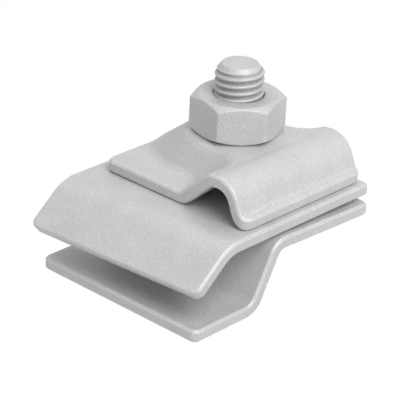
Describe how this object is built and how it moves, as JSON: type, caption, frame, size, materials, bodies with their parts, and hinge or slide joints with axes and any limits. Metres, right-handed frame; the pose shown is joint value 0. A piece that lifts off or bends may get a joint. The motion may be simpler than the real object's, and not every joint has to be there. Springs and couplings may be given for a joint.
{
  "type": "gutter and conductor clamp",
  "caption": "Bolted clamp of three bent steel plates: a lipped jaw grips a sheet or gutter edge, and a grooved cap plate presses a round conductor beside the bolt.",
  "frame": {"origin": "on the axis of the conductor groove in the cap plate, level with the bolt", "axes": "+X along the conductor groove, away from the jaw's mouth; +Y from the groove to the bolt; +Z along the bolt towards the nut"},
  "size_m": [0.0529, 0.0438, 0.0405],
  "materials": {
    "galvanised_plate": "matte hot-dip galvanised steel, light neutral grey with a fine grain",
    "galvanised_fastener": "matte hot-dip galvanised steel, slightly darker than the plates"
  },
  "bodies": {
    "base": {"bottom_plate": "galvanised_plate", "hex_bolt": "galvanised_fastener"},
    "jaw_plate": {"middle_plate": "galvanised_plate"},
    "cap": {"top_plate": "galvanised_plate"},
    "nut": {"hex_nut": "galvanised_fastener"}
  },
  "joints": [
    {"name": "jaw_open", "type": "slide", "parent": "base", "child": "jaw_plate", "axis": [0, 0, 1], "range_m": [0, 0.0024]},
    {"name": "groove_open", "type": "slide", "parent": "jaw_plate", "child": "cap", "axis": [0, 0, 1], "range_m": [0, 0.00301]},
    {"name": "nut_turn", "type": "hinge", "parent": "cap", "child": "nut", "pos_m": [0, 0.0129, 0.0097], "axis": [0, 0, 1], "range_deg": [0, 1297]}
  ],
  "couplings": [
    {"joint": "groove_open", "follows": "jaw_open", "ratio": 1.25},
    {"joint": "nut_turn", "follows": "jaw_open", "rad_per_m": 9424.8}
  ]
}
